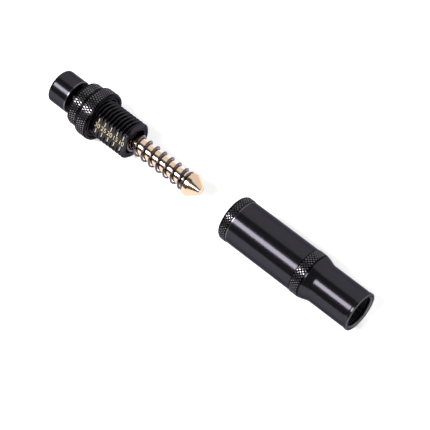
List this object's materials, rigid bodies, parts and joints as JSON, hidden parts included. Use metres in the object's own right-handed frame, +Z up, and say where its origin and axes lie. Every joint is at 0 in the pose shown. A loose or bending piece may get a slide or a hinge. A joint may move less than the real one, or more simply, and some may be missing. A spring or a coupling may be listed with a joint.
{
  "type": "adjustable spring valve tool",
  "caption": "Black turned hand tool in two threaded pieces: a sprung brass cone stem with pull knob, scale and lock ring, and a knurled sleeve with an open threaded nose.",
  "frame": {"origin": "on the floor under the middle of the laid-out tool: centre of the bounding box's bottom", "axes": "+X along the tool's axis from the knob to the nose, +Z up; the tool lies on its side on the lock ring"},
  "size_m": [0.1368, 0.019, 0.0189],
  "materials": {
    "black_anodised": "satin black anodised aluminium, fine turned grain",
    "brass": "bright turned pale brass",
    "spring_steel": "drawn spring wire, slightly violet grey",
    "dark_steel": "blackened steel",
    "bronze": "sintered bronze",
    "rubber": "moulded nitrile rubber",
    "scale_fill": "cream paint filled into the engraved scale"
  },
  "bodies": {
    "sleeve": {"sleeve": "black_anodised", "valve_seat": "brass", "seat_seal": "rubber", "core_depressor": "dark_steel", "stem_gasket": "rubber", "stem_insert": "brass"},
    "spring_seat": {"spring_washer": "dark_steel", "closing_spring": "spring_steel"},
    "stem": {"stem_rod": "brass", "cone_head": "brass", "pull_knob": "black_anodised", "knob_set_screw": "dark_steel"},
    "adjuster": {"adjuster_body": "black_anodised", "stem_guide_bush": "bronze"},
    "lock_seal": {"lock_ring_seal": "rubber"},
    "lock_ring": {"lock_ring": "black_anodised"}
  },
  "joints": [
    {"name": "adjuster_draw", "type": "slide", "parent": "sleeve", "child": "spring_seat", "axis": [1, 0, 0], "range_m": [0, 0.0495]},
    {"name": "knob_pull", "type": "slide", "parent": "spring_seat", "child": "stem", "axis": [-1, 0, 0], "range_m": [0, 0.014], "stiffness_N_per_m": 400, "springref_m": -0.006, "deforming": ["closing_spring"]},
    {"name": "adjuster_turn", "type": "hinge", "parent": "spring_seat", "child": "adjuster", "pos_m": [0, 0, 0.00946], "axis": [1, 0, 0], "continuous": true},
    {"name": "lock_ring_travel", "type": "slide", "parent": "adjuster", "child": "lock_seal", "axis": [1, 0, 0], "range_m": [0, 0.0106]},
    {"name": "lock_ring_turn", "type": "hinge", "parent": "lock_seal", "child": "lock_ring", "pos_m": [-0.0499, 0, 0.00946], "axis": [1, 0, 0], "range_deg": [0, 2520]}
  ],
  "couplings": [
    {"joint": "lock_ring_travel", "follows": "lock_ring_turn", "m_per_rad": 0.00023873}
  ]
}
